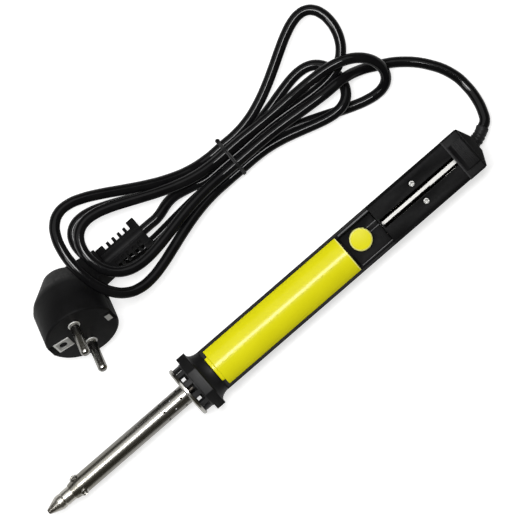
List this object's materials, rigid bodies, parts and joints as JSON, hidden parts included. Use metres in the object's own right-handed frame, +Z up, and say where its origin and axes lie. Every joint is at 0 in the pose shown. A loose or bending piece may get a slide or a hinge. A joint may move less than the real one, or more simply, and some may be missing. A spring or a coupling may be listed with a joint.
{
  "type": "desoldering iron",
  "caption": "Mains soldering iron with a hollow nozzle, a spring suction pump cocked by a thumb slider and released by a button, and a tied cord with an angled plug.",
  "frame": {"origin": "middle of the iron's box, on the bench under it, without the cord and its plug", "axes": "+X from the nozzle along the iron to where the cord leaves it, +Y to the side where the tied cord lies, +Z up off the bench"},
  "size_m": [0.299, 0.1275, 0.0476],
  "materials": {
    "polished_steel": "polished stainless steel",
    "plated_steel": "nickel-plated steel",
    "tip_metal": "iron-plated nozzle",
    "black_plastic": "fine-textured black moulding",
    "dark_plastic": "dark grey moulding",
    "yellow_plastic": "glossy yellow moulding",
    "white_plastic": "natural nylon",
    "ceramic": "fired ceramic and mica",
    "brass": "turned brass",
    "spring_steel": "drawn spring wire",
    "seal_rubber": "oiled rubber",
    "wire_brown": "insulated wire",
    "wire_earth": "insulated wire",
    "cord_pvc": "smooth black cord sheath",
    "plug_rubber": "moulded black plug"
  },
  "bodies": {
    "handle": {"nozzle": "tip_metal", "tip_screws": "plated_steel", "heater_barrel": "polished_steel", "suction_tube": "polished_steel", "heater_core": "ceramic", "heater_winding": "spring_steel", "barrel_flange": "polished_steel", "front_collar": "black_plastic", "heat_washer": "ceramic", "lower_casing": "black_plastic", "top_cover": "yellow_plastic", "bay_plate": "black_plastic", "rear_cover": "black_plastic", "cover_screws": "plated_steel", "tail_cap": "black_plastic", "pump_cylinder": "white_plastic", "pump_front_cap": "dark_plastic", "pump_rear_cap": "dark_plastic", "rod_bush": "brass", "main_spring": "spring_steel", "button_spring": "spring_steel", "terminal_block": "white_plastic", "mains_leads": "wire_brown", "earth_lead": "wire_earth", "cord_inner": "cord_pvc", "cord_clamp": "white_plastic", "clamp_screws": "plated_steel", "strain_relief": "cord_pvc", "cord_lead": "cord_pvc", "cord_hank": "cord_pvc", "cord_tail": "cord_pvc", "hank_tie": "cord_pvc", "plug_body": "plug_rubber", "plug_boot": "plug_rubber", "plug_pins": "plated_steel", "earth_clips": "plated_steel"},
    "cocking_slider": {"thumb_slider": "dark_plastic", "slider_pin": "plated_steel", "piston_rod": "polished_steel", "piston": "white_plastic", "piston_ring": "seal_rubber"},
    "button": {"release_button": "yellow_plastic"}
  },
  "joints": [
    {"name": "cocking_slide", "type": "slide", "parent": "handle", "child": "cocking_slider", "axis": [-1, 0, 0], "range_m": [0, 0.0435], "stiffness_N_per_m": 180, "springref_m": -0.015, "deforming": ["main_spring"]},
    {"name": "button_press", "type": "slide", "parent": "handle", "child": "button", "axis": [0, 0, -1], "range_m": [0, 0.002], "stiffness_N_per_m": 400, "springref_m": -0.002, "deforming": ["button_spring"]}
  ]
}
